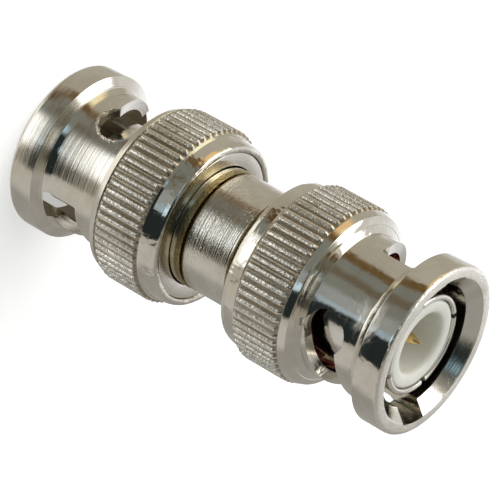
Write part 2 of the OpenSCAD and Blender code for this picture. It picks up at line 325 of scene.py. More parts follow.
class Wiring:
    """Short hand for building a node tree."""

    def __init__(self, tree: bpy.types.NodeTree) -> None:
        """Keeps the tree that nodes are added to."""
        self.tree = tree

    def add(self, kind: str, **values: object) -> bpy.types.Node:
        """Adds a node and sets its properties and sockets.

        Args:
            kind: The node's type name.
            **values: Properties by name. A name that isn't a property is an input socket,
                written with underscores for spaces, or in0, in1 and so on by position.

        Returns:
            The new node.
        """
        node = self.tree.nodes.new(kind)
        for name, value in values.items():
            if name.startswith("in") and name[2:].isdigit():
                self.feed(node.inputs[int(name[2:])], value)
            elif hasattr(node, name):
                setattr(node, name, value)
            else:
                self.feed(node.inputs[name.replace("_", " ")], value)
        return node

    def feed(self, socket: bpy.types.NodeSocket, value: object) -> None:
        """Links an output to a socket, or sets the socket's own value.

        Args:
            socket: The input socket.
            value: An output socket or a plain value.
        """
        if isinstance(value, bpy.types.NodeSocket):
            self.tree.links.new(value, socket)
        else:
            socket.default_value = value

    def maths(self, operation: str, *values: object, clamp: bool = False) -> bpy.types.NodeSocket:
        """Adds a Math node.

        Args:
            operation: Name of the operation.
            *values: Its operands, as sockets or numbers.
            clamp: Whether the result is kept between 0 and 1.

        Returns:
            The node's output.
        """
        node = self.add("ShaderNodeMath", operation=operation, use_clamp=clamp)
        for index, value in enumerate(values):
            self.feed(node.inputs[index], value)
        return node.outputs[0]

    def ramp(
        self, value: object, low: float, high: float, to_low: float = 0.0, to_high: float = 1.0
    ) -> bpy.types.NodeSocket:
        """Maps a range smoothly onto another.

        Args:
            value: What is mapped.
            low: Start of its range.
            high: End of its range.
            to_low: Result at the start.
            to_high: Result at the end.

        Returns:
            The node's output.
        """
        node = self.add("ShaderNodeMapRange", interpolation_type="SMOOTHSTEP")
        for index, part in enumerate((value, low, high, to_low, to_high)):
            self.feed(node.inputs[index], part)
        return node.outputs[0]

    def mix(self, share: object, first: object, second: object) -> bpy.types.NodeSocket:
        """Mixes two colours.

        Args:
            share: Share of the second colour.
            first: First colour.
            second: Second colour.

        Returns:
            The node's output.
        """
        node = self.add("ShaderNodeMix", data_type="RGBA")
        self.feed(node.inputs[0], share)
        self.feed(node.inputs[6], first)
        self.feed(node.inputs[7], second)
        return node.outputs[2]

    def bump(
        self, height: object, distance: float, normal: object = None, strength: float = 1.0
    ) -> bpy.types.NodeSocket:
        """Adds a Bump node.

        Args:
            height: The relief.
            distance: Its depth, in metres.
            normal: The normal that it starts from, if not the surface's own.
            strength: Share of the relief that is used.

        Returns:
            The changed normal.
        """
        node = self.add("ShaderNodeBump", Strength=strength, Distance=distance, Height=height)
        if normal is not None:
            self.feed(node.inputs["Normal"], normal)
        return node.outputs[0]

    def group(self, tree: bpy.types.NodeTree, **values: object) -> bpy.types.Node:
        """Places a node group with its own input values.

        Args:
            tree: The shared effect.
            **values: Input values by socket name, with underscores for spaces.

        Returns:
            The group's node.
        """
        node = self.tree.nodes.new("ShaderNodeGroup")
        node.node_tree = tree
        for name, value in values.items():
            self.feed(node.inputs[name.replace("_", " ")], value)
        return node


def new_effect(
    name: str, inputs: dict[str, float], outputs: Sequence[str]
) -> tuple[bpy.types.NodeTree, Wiring, bpy.types.Node, bpy.types.Node]:
    """Starts a shared effect as a node group.

    Args:
        name: Name of the group.
        inputs: Default of each input.
        outputs: Names of the outputs.

    Returns:
        The tree, its wiring, its input node and its output node.
    """
    tree = bpy.data.node_groups.new(name, "ShaderNodeTree")
    for label, value in inputs.items():
        socket = tree.interface.new_socket(name=label, in_out="INPUT", socket_type=PLAIN_VALUE)
        socket.default_value = value
    for label in outputs:
        tree.interface.new_socket(name=label, in_out="OUTPUT", socket_type=PLAIN_VALUE)
    wire = Wiring(tree)
    return tree, wire, wire.add("NodeGroupInput"), wire.add("NodeGroupOutput")


class Effects:
    """Shared effects of the adapter's finishes, each built once."""

    def __init__(self) -> None:
        """Builds the node groups, one for each effect."""
        self.turning = self._turning()
        self.plating = self._plating()
        self.handling = self._handling()

    @staticmethod
    def _turning() -> bpy.types.NodeTree:
        """Builds the fine rings that a lathe tool leaves round the axis.

        Returns:
            The group, which gives a height and a streak mask.
        """
        tree, wire, inp, out = new_effect(
            "turning_rings",
            {"Rings": 9.0, "Wander": 0.3, "Fine Share": 0.5},
            ("Height", "Streaks"),
        )
        place = wire.add("ShaderNodeTexCoord").outputs["Object"]
        parts = wire.add("ShaderNodeSeparateXYZ", in0=place)
        x, y, z = (wire.maths("MULTIPLY", part, PER_MM) for part in parts.outputs)
        radius = wire.maths("SQRT", wire.maths("ADD", wire.maths("MULTIPLY", x, x),
                                               wire.maths("MULTIPLY", y, y)))
        # Rings follow the height on walls and the radius on faces. The odd share keeps the two from
        # running level on a cone.
        level = wire.maths("ADD", z, wire.maths("MULTIPLY", radius, 1.37))
        wander = wire.add("ShaderNodeTexNoise", noise_dimensions="3D", Vector=place,
                          Scale=0.12 / MM, Detail=1.0)
        shift = wire.maths("MULTIPLY", wander.outputs["Fac"], inp.outputs["Wander"])
        along = wire.maths("MULTIPLY", wire.maths("ADD", level, shift), inp.outputs["Rings"])
        coarse = wire.add("ShaderNodeTexNoise", noise_dimensions="1D", W=along, Scale=0.35,
                          Detail=2.0, Roughness=0.6)
        fine = wire.add("ShaderNodeTexNoise", noise_dimensions="1D", W=along, Scale=1.6,
                        Detail=2.0, Roughness=0.7)
        height = wire.add("ShaderNodeMix", data_type="FLOAT", in0=inp.outputs["Fine Share"],
                          in2=coarse.outputs["Fac"], in3=fine.outputs["Fac"])
        wire.feed(out.inputs["Height"], height.outputs[0])
        wire.feed(out.inputs["Streaks"], wire.ramp(coarse.outputs["Fac"], 0.42, 0.66))
        return tree

    @staticmethod
    def _plating() -> bpy.types.NodeTree:
        """Builds the grain of rough plating: small nodules, pits and a few bright grains.

        Returns:
            The group, which gives a height and a mask of grains.
        """
        tree, wire, inp, out = new_effect(
            "plating_grain",
            {"Size": 7.0, "Amount": 0.3},
            ("Height", "Grains"),
        )
        place = wire.add("ShaderNodeTexCoord").outputs["Object"]
        scale = wire.maths("MULTIPLY", inp.outputs["Size"], PER_MM)
        cells = wire.add("ShaderNodeTexVoronoi", feature="F1", Vector=place, Scale=scale,
                         Randomness=1.0)
        broad = wire.add("ShaderNodeTexNoise", Vector=place, Scale=0.55 / MM, Detail=2.0)
        keep = wire.ramp(broad.outputs["Fac"], wire.maths("SUBTRACT", 0.72, inp.outputs["Amount"]),
                         0.8)
        chance = wire.add("ShaderNodeSeparateColor", in0=cells.outputs["Color"]).outputs[0]
        some = wire.maths("GREATER_THAN", chance, 0.62)
        dot = wire.ramp(cells.outputs["Distance"], 0.42, 0.1)
        grains = wire.maths("MULTIPLY", wire.maths("MULTIPLY", dot, some), keep)
        swell = wire.add("ShaderNodeTexNoise", Vector=place,
                         Scale=wire.maths("MULTIPLY", scale, 0.7), Detail=3.0, Roughness=0.65)
        height = wire.maths("ADD", wire.maths("MULTIPLY", swell.outputs["Fac"], 0.6), grains)
        wire.feed(out.inputs["Height"], height)
        wire.feed(out.inputs["Grains"], grains)
        return tree

    @staticmethod
    def _handling() -> bpy.types.NodeTree:
        """Builds the slow change of tone that handling and plating baths leave.

        Returns:
            The group, which gives a smudge mask and a mask of small dings.
        """
        tree, wire, inp, out = new_effect(
            "handling_marks",
            {"Spread": 0.35},
            ("Smudge", "Dings"),
        )
        place = wire.add("ShaderNodeTexCoord").outputs["Object"]
        cloud = wire.add("ShaderNodeTexNoise", Vector=place,
                         Scale=wire.maths("MULTIPLY", inp.outputs["Spread"], PER_MM), Detail=3.0,
                         Roughness=0.6, Distortion=0.4)
        spots = wire.add("ShaderNodeTexVoronoi", feature="F1", Vector=place, Scale=2.6 / MM)
        chance = wire.add("ShaderNodeSeparateColor", in0=spots.outputs["Color"]).outputs[1]
        few = wire.maths("GREATER_THAN", chance, 0.8)
        dings = wire.maths("MULTIPLY", wire.ramp(spots.outputs["Distance"], 0.3, 0.12), few)
        wire.feed(out.inputs["Smudge"], wire.ramp(cloud.outputs["Fac"], 0.36, 0.68))
        wire.feed(out.inputs["Dings"], dings)
        return tree


def new_material(name: str) -> tuple[bpy.types.Material, Wiring, bpy.types.Node]:
    """Starts a material with one Principled shader.

    Args:
        name: Name of the material.

    Returns:
        The material, its wiring and the shader.
    """
    material = bpy.data.materials.new(name)
    material.use_nodes = True
    return material, Wiring(material.node_tree), material.node_tree.nodes["Principled BSDF"]


# ---------------------------------------------------------------------------------------------
# Finishes
# ---------------------------------------------------------------------------------------------


@dataclass(frozen=True)
class NickelPlate:
    """Bright nickel plate over turned brass.

    Rings is their number per millimetre and grain_size that of the grains. The heights and the wave
    are shares of each relief's full depth.
    """

    name: str
    colour: Colour = (0.74, 0.71, 0.64, 1.0)
    worn: Colour = (0.60, 0.56, 0.48, 1.0)
    roughness: float = 0.13
    rings: float = 9.0
    ring_height: float = 0.10
    fine_share: float = 0.5
    grain_size: float = 7.0
    grain_amount: float = 0.3
    grain_height: float = 0.10
    sparkle: float = 0.3
    glint: Colour = (0.97, 0.96, 0.93, 1.0)
    wave: float = 0.0

    def make(self, effects: Effects) -> bpy.types.Material:
        """Makes the material.

        Args:
            effects: The shared effects.

        Returns:
            The material.
        """
        material, wire, shader = new_material(self.name)
        turning = wire.group(effects.turning, Rings=self.rings, Fine_Share=self.fine_share)
        plating = wire.group(effects.plating, Size=self.grain_size, Amount=self.grain_amount)
        handling = wire.group(effects.handling)
        dirt = wire.maths("MULTIPLY", handling.outputs["Smudge"], 0.55)
        bright = wire.maths("MULTIPLY", plating.outputs["Grains"], self.sparkle)
        base = wire.mix(bright, wire.mix(dirt, self.colour, self.worn), self.glint)
        wire.feed(shader.inputs["Base Color"], base)
        shader.inputs["Metallic"].default_value = 1.0
        rough = wire.maths("MULTIPLY_ADD", handling.outputs["Smudge"], 0.07, self.roughness)
        rough = wire.maths("MULTIPLY_ADD", turning.outputs["Streaks"], 0.05, rough)
        rough = wire.maths("MULTIPLY_ADD", handling.outputs["Dings"], 0.12, rough)
        rough = wire.maths("MULTIPLY_ADD", plating.outputs["Grains"], -0.05, rough, clamp=True)
        wire.feed(shader.inputs["Roughness"], rough)
        waves = wire.bump(handling.outputs["Smudge"], self.wave * 0.1 * MM)
        rings = wire.bump(turning.outputs["Height"], self.ring_height * 0.02 * MM, waves)
        grains = wire.bump(plating.outputs["Height"], self.grain_height * 0.1 * MM, rings)
        wire.feed(shader.inputs["Normal"], grains)
        return material


@dataclass(frozen=True)
class GoldPlate:
    """Thin gold plate on the centre contact."""

    name: str = "gold_plate"
    colour: Colour = (0.84, 0.62, 0.26, 1.0)
    shade: Colour = (0.72, 0.50, 0.20, 1.0)

    def make(self, effects: Effects) -> bpy.types.Material:
        """Makes the material.

        Args:
            effects: The shared effects.

        Returns:
            The material.
        """
        material, wire, shader = new_material(self.name)
        turning = wire.group(effects.turning, Rings=14.0, Fine_Share=0.7)
        handling = wire.group(effects.handling, Spread=1.2)
        wire.feed(shader.inputs["Base Color"],
                  wire.mix(handling.outputs["Smudge"], self.colour, self.shade))
        shader.inputs["Metallic"].default_value = 1.0
        wire.feed(shader.inputs["Roughness"],
                  wire.maths("MULTIPLY_ADD", turning.outputs["Streaks"], 0.08, 0.16))
        wire.feed(shader.inputs["Normal"], wire.bump(turning.outputs["Height"], 0.0015 * MM))
        return material


@dataclass(frozen=True)
class MilkyPolymer:
    """White fluoropolymer of the insulators, faintly translucent."""

    name: str = "milky_polymer"
    colour: Colour = (0.80, 0.80, 0.74, 1.0)
    shade: Colour = (0.70, 0.70, 0.60, 1.0)

    def make(self, effects: Effects) -> bpy.types.Material:
        """Makes the material.

        Args:
            effects: The shared effects.

        Returns:
            The material.
        """
        material, wire, shader = new_material(self.name)
        turning = wire.group(effects.turning, Rings=6.0, Fine_Share=0.6)
        handling = wire.group(effects.handling, Spread=0.6)
        tone = wire.maths("MULTIPLY", handling.outputs["Smudge"], 0.35)
        wire.feed(shader.inputs["Base Color"], wire.mix(tone, self.colour, self.shade))
        wire.feed(shader.inputs["Roughness"],
                  wire.maths("MULTIPLY_ADD", turning.outputs["Streaks"], 0.12, 0.34))
        shader.inputs["Subsurface Weight"].default_value = 0.25
        shader.inputs["Subsurface Radius"].default_value = (1.0, 0.9, 0.7)
        shader.inputs["Subsurface Scale"].default_value = 0.0008
        wire.feed(shader.inputs["Normal"], wire.bump(turning.outputs["Height"], 0.004 * MM))
        return material


@dataclass(frozen=True)
class SiliconeRubber:
    """Dark red silicone of the gaskets."""

    name: str = "red_silicone"
    colour: Colour = (0.66, 0.06, 0.04, 1.0)
    shade: Colour = (0.46, 0.035, 0.025, 1.0)

    def make(self, effects: Effects) -> bpy.types.Material:
        """Makes the material.

        Args:
            effects: The shared effects.

        Returns:
            The material.
        """
        material, wire, shader = new_material(self.name)
        plating = wire.group(effects.plating, Size=5.0, Amount=0.5)
        handling = wire.group(effects.handling, Spread=0.8)
        wire.feed(shader.inputs["Base Color"],
                  wire.mix(handling.outputs["Smudge"], self.colour, self.shade))
        wire.feed(shader.inputs["Roughness"],
                  wire.maths("MULTIPLY_ADD", handling.outputs["Smudge"], 0.12, 0.42))
        relief = wire.bump(plating.outputs["Height"], 0.012 * MM, strength=0.6)
        wire.feed(shader.inputs["Normal"], relief)
        return material


@dataclass(frozen=True)
class BareMetal:
    """Unplated metal of the hidden washers."""

    name: str
    colour: Colour
    stain: Colour
    roughness: float

    def make(self, effects: Effects) -> bpy.types.Material:
        """Makes the material.

        Args:
            effects: The shared effects.

        Returns:
            The material.
        """
        material, wire, shader = new_material(self.name)
        turning = wire.group(effects.turning, Rings=5.0, Fine_Share=0.5)
        handling = wire.group(effects.handling, Spread=0.7)
        wire.feed(shader.inputs["Base Color"],
                  wire.mix(handling.outputs["Smudge"], self.colour, self.stain))
        shader.inputs["Metallic"].default_value = 1.0
        wire.feed(shader.inputs["Roughness"],
                  wire.maths("MULTIPLY_ADD", handling.outputs["Smudge"], 0.15, self.roughness))
        wire.feed(shader.inputs["Normal"], wire.bump(turning.outputs["Height"], 0.003 * MM))
        return material


class Finishes:
    """Every finish of the adapter, made once."""

    def __init__(self, effects: Effects) -> None:
        """Makes the materials.

        Args:
            effects: The shared effects.
        """
        self.polished = NickelPlate("nickel_polished", roughness=0.045, ring_height=0.08,
                                    grain_amount=0.1, grain_height=0.03,
                                    wave=0.12).make(effects)
        self.buffed = NickelPlate("nickel_buffed", roughness=0.04, ring_height=0.1,
                                  grain_amount=0.25, grain_height=0.1, wave=0.45).make(effects)
        self.turned = NickelPlate("nickel_turned", roughness=0.055, rings=6.0, ring_height=0.8,
                                  fine_share=0.45, grain_height=0.05).make(effects)
        self.knurled = NickelPlate("nickel_knurled", colour=rgb(0.90, 0.87, 0.80), roughness=0.2,
                                   ring_height=0.02, grain_size=5.5, grain_amount=0.66,
                                   grain_height=1.1, sparkle=1.0).make(effects)
        # Darker nickel in the knurl's grooves: dirt together with painted shade
        self.groove = NickelPlate("nickel_groove_dirt_and_shade", colour=rgb(0.46, 0.41, 0.32),
                                  worn=rgb(0.32, 0.27, 0.19), roughness=0.3, ring_height=0.02,
                                  grain_amount=0.45, grain_height=0.6).make(effects)
        # Painted shade: near-black nickel for the inside of each detent hole, where shade falls
        self.drilled = NickelPlate("nickel_drilled", colour=rgb(0.15, 0.12, 0.09),
                                   worn=rgb(0.30, 0.26, 0.20), roughness=0.24,
                                   ring_height=0.02, grain_amount=0.5,
                                   grain_height=0.4).make(effects)
        self.rim = NickelPlate("nickel_rim", colour=rgb(0.90, 0.87, 0.79), roughness=0.27,
                               grain_amount=0.6, grain_height=0.5, sparkle=0.8).make(effects)
        self.throat = NickelPlate("nickel_throat", roughness=0.05, rings=7.0,
                                  ring_height=0.45).make(effects)
        self.sleeve = NickelPlate("nickel_sleeve", roughness=0.07, rings=4.5, ring_height=1.2,
                                  fine_share=0.65, grain_size=6.5, grain_amount=0.45,
                                  grain_height=0.22, sparkle=1.0).make(effects)
        self.journal = NickelPlate("nickel_journal", colour=rgb(0.70, 0.65, 0.52),
                                   worn=rgb(0.46, 0.39, 0.26), roughness=0.06, rings=5.0,
                                   ring_height=0.4).make(effects)
        self.washer = NickelPlate("nickel_washer", roughness=0.16, ring_height=0.1).make(effects)
        self.tube = NickelPlate("nickel_tube", colour=rgb(0.76, 0.74, 0.70), roughness=0.06,
                                ring_height=0.05).make(effects)
        self.walls = {End.UPPER: self.polished, End.LOWER: self.turned}
        self.gold = GoldPlate().make(effects)
        self.polymer = MilkyPolymer().make(effects)
        self.silicone = SiliconeRubber().make(effects)
        # Brown next to the joint of sleeve and body: worn plating, with painted shade where the
        # parts meet
        self.stained = NickelPlate("nickel_stained", colour=rgb(0.40, 0.32, 0.16),
                                   worn=rgb(0.24, 0.18, 0.09), roughness=0.2, grain_amount=0.6,
                                   grain_height=0.7).make(effects)
        self.brass = BareMetal("plain_brass", rgb(0.62, 0.48, 0.24), rgb(0.36, 0.27, 0.14),
                               0.3).make(effects)
        self.spring = BareMetal("spring_temper", rgb(0.32, 0.30, 0.29), rgb(0.16, 0.15, 0.17),
                                0.34).make(effects)


# ---------------------------------------------------------------------------------------------
# Sub-assemblies
# ---------------------------------------------------------------------------------------------


def settle(
    piece: bpy.types.Object,
    finish: bpy.types.Material | Sequence[bpy.types.Material],
    body: str,
    slot: str,
    *nodes: str,
) -> None:
    """Gives a piece its finish, its body and the nodes it stands for.

    Args:
        piece: The finished piece.
        finish: Its material, or one for each zone of its faces.
        body: The body it moves with.
        slot: Name of the record's material slot, not used.
        *nodes: Construction nodes that it stands for.
    """
    zones = [polygon.material_index for polygon in piece.data.polygons]
    piece.data.materials.clear()
    for material in [finish] if isinstance(finish, bpy.types.Material) else finish:
        piece.data.materials.append(material)
    piece.data.polygons.foreach_set("material_index", zones)
    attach(piece, body)
    if nodes:
        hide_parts(*nodes)
    LOG.info("%s: %d faces on %s", piece.name, len(piece.data.polygons), body)


class NutZone(Enum):
    """Zones of the nut's surface with a finish of their own, by material index."""

    WALL = 0
    BAND = 1
    KNURL = 2
    GROOVE_DIRT_AND_SHADE = 3
    RIM = 4
    THROAT = 5
    PAINTED_HOLE_SHADE = 6


@dataclass
class CouplingNut:
    """Coupling nut with its knurl, cam slots, detent holes and countersunk mouth.

    Names that end in _r are radii. Plain ones are heights and lengths, in millimetres, and turns
    are in degrees. Widths within a ridge are shares of the ridges' pitch.
    """

    end: End
    turn: float
    rear: float = 3.15
    knurl_rear: float = 4.6
    knurl_front: float = 8.85
    shoulder: float = 10.05
    barrel_front: float = 14.65
    collar_rear: float = 15.55
    mouth: float = HALF_LENGTH
    band_r: float = 6.825
    ridge_r: float = 7.25
    root_r: float = 7.01
    ridges: int = 65
    shoulder_rear_r: float = 7.08
    shoulder_r: float = 6.88
    cone_front: float = 9.45
    barrel_r: float = 5.75
    ledge_r: float = 6.1
    collar_r: float = 6.82
    bore_r: float = 4.9
    cavity_r: float = 6.0
    seat_r: float = 6.27
    lip_r: float = 6.13
    floor_r: float = 5.95
    slot_w: float = 2.6
    cam_turn: float = 89.0
    cam_end: float = 11.42
    cam_rise: float = 1.8
    detent_h: float = 11.8
    detent_r: float = 1.72
    bevel: float = 0.05
    crown_length: float = 0.5
    crown_fall: float = 0.2
    knurl_run_out: float = 0.3
    crest_half: float = 0.21
    foot_half: float = 0.38
    flank_width: float = 0.17
    mouth_r: float = 5.86
    throat_r: float = 5.78
    countersink: float = 0.88
    rim_width: float = 0.2
    cavity_front: float = 6.78
    seat_front: float = 3.87
    seat_rear: float = 3.52
    lip_front: float = 3.38
    tool_tip: float = 3.9
    tool_clearance: float = 1.6
    # Depth below the barrel's surface from which a detent hole's wall gets a painted shade
    hole_shade_depth: float = 0.33
    burr_size: float = 0.0

    def profile(self) -> list[Point]:
        """Draws the nut's section, from the rear lip over the outside and back inside.

        Returns:
            The section's points as radius and height.
        """
        line_r = (self.shoulder_r + self.barrel_r) / 2
        line_h = (self.cone_front + self.shoulder) / 2
        outside: list[Knot] = [
            (self.lip_r, self.rear + 0.02, 0.04),
            (self.band_r - self.crown_fall, self.rear, 0.3),
            (self.band_r - 0.07, self.rear + self.crown_length, 0.5),
            (self.band_r + 0.01, self.knurl_rear - 0.12, 0.04),
            (self.root_r - 0.06, self.knurl_rear + 0.06, 0.05),
            (self.ridge_r, self.knurl_rear + self.knurl_run_out, 0.12),
            (self.ridge_r, self.knurl_front - self.knurl_run_out, 0.12),
            (self.root_r + 0.02, self.knurl_front - 0.03, 0.04),
            (self.shoulder_rear_r - 0.1, self.knurl_front, 0.02),
            (self.shoulder_rear_r, self.knurl_front + 0.04, 0.03),
            (self.shoulder_r, self.cone_front, 0.1),
            (line_r + 0.02, line_h, 0.02),
            (line_r - 0.01, line_h - 0.015, 0.01),
            (line_r - 0.03, line_h + 0.01, 0.01),
            (self.barrel_r, self.shoulder, 0.05),
            (self.barrel_r, self.barrel_front, 0.35),
            (self.ledge_r - 0.1, self.collar_rear - 0.42, 0.02),
            (self.ledge_r, self.collar_rear - 0.38, 0.02),
            (self.ledge_r, self.collar_rear - 0.34, 0.02),
            (self.collar_r, self.collar_rear + 0.02, 0.05),
            (self.collar_r, self.mouth, 0.34),
            (self.mouth_r, self.mouth, 0.06),
            (self.throat_r, self.mouth - 0.06, 0.02),
            (self.bore_r, self.mouth - self.countersink, 0.03),
            (self.bore_r, self.cavity_front, 0.0),
            (self.cavity_r, self.cavity_front, 0.0),
            (self.cavity_r, self.seat_front, 0.0),
            (self.seat_r, self.seat_front, 0.0),
            (self.seat_r, self.seat_rear, 0.0),
            (self.lip_r, self.lip_front, 0.0),
        ]
        return rounded(outside)

    def columns(self) -> list[float]:
        """Places the columns close together on the flanks of each ridge.

        Returns:
            The columns' angles, in radians.
        """
        right = (0.11, self.crest_half, 0.3, self.foot_half)
        shares = (-0.5, *(-share for share in reversed(right)), 0.0, *right)
        pitch = 2 * math.pi / self.ridges
        return [(ridge + share) * pitch for ridge in range(self.ridges) for share in shares]

    def ridge(self, r: float, h: float, angle: float) -> float:
        """Returns the radius of a point of the knurled band, and of any other as it is.

        Args:
            r: Radius on the section.
            h: Height on the section.
            angle: Angle round the axis, in radians.

        Returns:
            The point's own radius.
        """
        if r <= self.root_r or not self.knurl_rear < h < self.knurl_front:
            return r
        turn = angle * self.ridges / (2 * math.pi) + 0.5
        place = turn % 1.0 - 0.5
        # Knurling rolls press some grooves and some crests less deep than others
        groove = 0.5 + noise.noise(Vector((math.floor(turn + 0.5) * 1.7, h * 0.12, self.turn)))
        crest = noise.noise(Vector((math.floor(turn) * 2.3, h * 0.3, self.turn + 40)))
        shallow, rounding, worn = 0.25, 0.16, 0.12
        flank = min(1.0, max(shallow * max(0.0, groove),
                             (self.foot_half - abs(place)) / self.flank_width))
        crown = (1.0 - rounding * min(1.0, abs(place) / self.crest_half) ** 2
                 - worn * max(0.0, crest))
        return self.root_r + (r - self.root_r) * flank * crown

    def tool_point(self, angle: float, offset: float, h: float, depth: float) -> Vector:
        """Returns a point on a slot wall that runs straight inward along the tool.

        Args:
            angle: Angle of the tool's axis, in radians.
            offset: Distance from the tool's axis along the wall.
            h: Height.
            depth: Distance from the nut's axis along the tool.

        Returns:
            The point, in the nut's own millimetres.
        """
        return Vector((
            depth * math.cos(angle) - offset * math.sin(angle),
            depth * math.sin(angle) + offset * math.cos(angle),
            h,
        ))

    def depths(self) -> list[tuple[float, float]]:
        """Spaces the rings of a cutter.

        Returns:
            The depth of each ring and how much it grows for the bevel.
        """
        grow = 1.4 * self.bevel
        return [(self.tool_tip, 0.0), (self.barrel_r - self.bevel, 0.0),
                (self.barrel_r + 0.02, grow), (self.barrel_r + self.tool_clearance, grow)]

    def hole_cutter(self, side: float) -> bmesh.types.BMesh:
        """Builds the cutter of a detent hole.

        Args:
            side: Turn of the hole round the nut, in radians.

        Returns:
            The closed cutter.
        """
        circle = [(math.cos(a), math.sin(a)) for a in even_columns(72)]
        levels = self.depths()
        # A ring at the depth from which the hole's wall gets its painted shade
        levels.insert(1, (self.barrel_r - self.hole_shade_depth, 0.0))
        rings = [
            [self.tool_point(side, (self.detent_r + grow) * x, self.detent_h
                             + (self.detent_r + grow) * y, depth) for x, y in circle]
            for depth, grow in levels
        ]
        return loft(rings, [Vector((x, y, 0.0)) for x, y in circle])

    def band_cutter(self, side: float) -> bmesh.types.BMesh:
        """Builds the cutter of the cam band from the detent hole to the entry groove.

        Args:
            side: Turn of the slot round the nut, in radians.

        Returns:
            The closed cutter.
        """
        half = self.slot_w / 2
        far = math.radians(self.cam_turn)
        slope = math.atan(self.cam_rise / (self.barrel_r * far))
        stations = 72
        sections = []
        for step in range(stations + 1):
            share = step / stations
            middle = self.cam_end + self.cam_rise * share
            section = []
            for sense in (-1, 1):
                rows = [
                    self.tool_point(
                        side + far * share, -sense * (half + grow) * math.sin(slope),
                        middle + sense * (half + grow) * math.cos(slope), depth)
                    for depth, grow in self.depths()
                ]
                section += rows if sense < 0 else rows[::-1]
            sections.append(section)
        flat = [Vector((depth, sense * (half + grow), 0.0)) for sense in (-1, 1)
                for depth, grow in self.depths()[::-sense]]
        return loft(sections, flat)

    def entry_cutter(self, side: float) -> bmesh.types.BMesh:
        """Builds the cutter of the part of an entry groove that goes through the barrel.

        Args:
            side: Turn of the groove round the nut, in radians.

        Returns:
            The closed cutter.
        """
        half = self.slot_w / 2
        low = self.cam_end + self.cam_rise - half
        high = self.barrel_front - 0.02
        corner = 0.22
        turn = side + math.radians(self.cam_turn)

        def outline(grow: float) -> list[Point]:
            """Draws the groove's outline, its corners round at the blind end.

            Args:
                grow: How much it grows on every side.

            Returns:
                The outline's points, round once.
            """
            x, y = half + grow, low - grow
            steps = [math.radians(15 * step) for step in range(7)]
            right = [(x - corner * (1 - math.sin(a)), y + corner * (1 - math.cos(a)))
                     for a in steps]
            return right + [(x, high + grow), (-x, high + grow)] + [
                (-px, py) for px, py in reversed(right)]

        rings = [[self.tool_point(turn, x, y, depth) for x, y in outline(grow)]
                 for depth, grow in self.depths()]
        return loft(rings, [Vector((x, y, 0.0)) for x, y in outline(0.0)])

    def groove_cutter(self, side: float) -> bmesh.types.BMesh:
        """Builds the cutter of an entry groove through the mouth collar.

        Args:
            side: Turn of the groove round the nut, in radians.

        Returns:
            The closed cutter.
        """
        half = self.slot_w / 2
        reach = math.asin(half / self.floor_r)
        turn = side + math.radians(self.cam_turn)
        section = [(self.tool_tip, -half), (math.sqrt(self.floor_r**2 - half**2), -half)]
        section += [
            (self.floor_r * math.cos(a), self.floor_r * math.sin(a))
            for a in (reach * (step / 5 - 1) for step in range(1, 10))
        ]
        section += [(math.sqrt(self.floor_r**2 - half**2), half), (self.tool_tip, half)]
        spin = Matrix.Rotation(turn, 3, "Z")
        rings = [[spin @ Vector((x, y, h)) for x, y in section]
                 for h in (self.cam_end + self.cam_rise, self.mouth + 0.5)]
        return loft(rings, [Vector((x, y, 0.0)) for x, y in section])

    def build(self) -> bpy.types.Object:
        """Builds the nut and sorts its faces by zone.

        Returns:
            The nut, in the frame's metres.
        """
        mesh = lathe(self.profile(), self.columns(), self.ridge)
        nut = piece_from(mesh, self.end.named("nut_shell"), MILLED_EDGE)
        cutters = []
        for side in (0.0, math.pi):
            cutters += [self.hole_cutter(side), self.band_cutter(side),
                        self.entry_cutter(side), self.groove_cutter(side)]
        carve(nut, cutters)
        for polygon in nut.data.polygons:
            polygon.material_index = self.zone(polygon.center).value
        nut.data.transform(self.end.placement(self.turn))
        return nut

    def burr(self, side: float, size: float) -> bmesh.types.BMesh:
        """Builds the ragged bead of metal that drilling raised round a detent hole.

        Args:
            side: Turn of the hole round the nut, in radians.
            size: Mean radius of the bead.

        Returns:
            The closed bead, in the nut's own millimetres.
        """
        stations, around, opening = 170, 8, math.radians(52)
        thin, taper = 0.12, 4
        rings = []
        for step in range(stations + 1):
            share = step / stations
            turn = opening + (2 * math.pi - 2 * opening) * share
            rough = noise.noise(Vector((9.0 * turn, size * 60, side)))
            end = min(1.0, thin + taper * share, thin + taper * (1 - share))
            radius = size * (1 + rough) * end
            stray = 0.05 * noise.noise(Vector((5.0 * turn, 3.0, side)))
            reach = self.detent_r + self.bevel + stray
            ring = []
            for a in even_columns(around):
                own = radius * (1 + 0.35 * noise.noise(Vector((14 * turn, 2 * a, side + 7))))
                r = reach + own * math.cos(a)
                offset = r * math.cos(turn)
                depth = math.sqrt(self.barrel_r**2 - offset**2) + own * math.sin(a)
                h = self.detent_h + r * math.sin(turn)
                ring.append(self.tool_point(side, offset, h, depth))
            rings.append(ring)
        return loft(rings, [Vector((math.cos(a), math.sin(a), 0.0)) for a in even_columns(around)])

    def dress_burrs(self, finishes: Finishes) -> None:
        """Builds the burrs of both detent holes on a nut that has them.

        Args:
            finishes: The adapter's finishes.
        """
        if self.burr_size <= 0:
            return
        for index, side in enumerate((0.0, math.pi)):
            bead = self.burr(side, self.burr_size)
            burr = piece_from(bead, self.end.named(f"burr_{index + 1}"), BURR_EDGE)
            burr.data.transform(self.end.placement(self.turn))
            settle(burr, finishes.rim, self.end.named("nut"), "nickel_nut")

    def zone(self, at: Vector) -> NutZone:
        """Sorts a face of the nut.

        Args:
            at: The face's centre, in the nut's own millimetres.

        Returns:
            The zone that it belongs to.
        """
        root, half_ridge, near = 0.06, 0.11, 0.04
        r = math.hypot(at.x, at.y)
        if at.z < self.knurl_rear:
            return NutZone.BAND
        if at.z < self.knurl_front and r > self.root_r - root:
